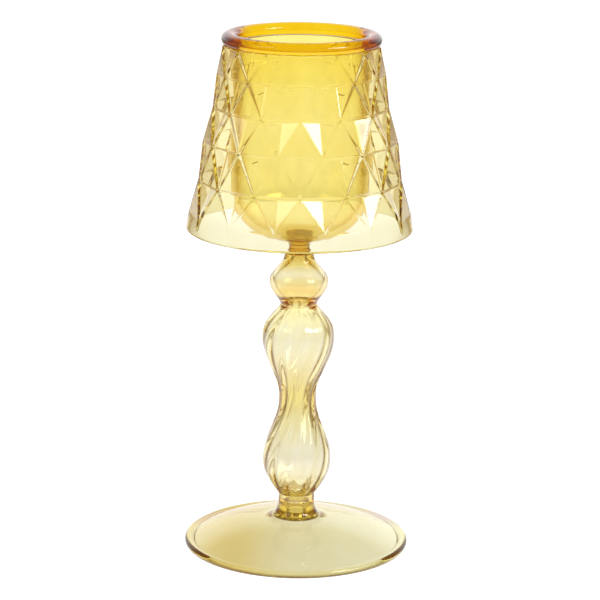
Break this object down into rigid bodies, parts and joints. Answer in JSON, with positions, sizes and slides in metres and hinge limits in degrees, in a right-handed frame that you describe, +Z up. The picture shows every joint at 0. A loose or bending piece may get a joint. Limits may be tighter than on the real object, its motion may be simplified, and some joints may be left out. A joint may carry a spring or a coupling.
{
  "type": "tealight holder",
  "caption": "Amber glass tealight holder shaped like a table lamp: a straight cup inside a faceted open shade, on a bulbed ribbed stem and a round domed foot.",
  "frame": {"origin": "on the axis, in the plane the foot rests on", "axes": "+Z up along the common axis of all pieces; -Y is the side the picture shows, +X is to its right"},
  "size_m": [0.0866, 0.0866, 0.2],
  "materials": {
    "pale_amber_glass": "polished, fire-finished, pale amber",
    "amber_glass": "polished, fire-finished, amber",
    "deep_amber_glass": "polished, fire-finished, deep amber"
  },
  "bodies": {
    "root": {"foot": "pale_amber_glass", "foot_collar": "amber_glass", "stem_tube": "pale_amber_glass", "stem_knop": "pale_amber_glass", "cup_post": "deep_amber_glass", "tealight_cup": "amber_glass", "rim_ring": "deep_amber_glass", "shade": "pale_amber_glass"}
  },
  "joints": []
}
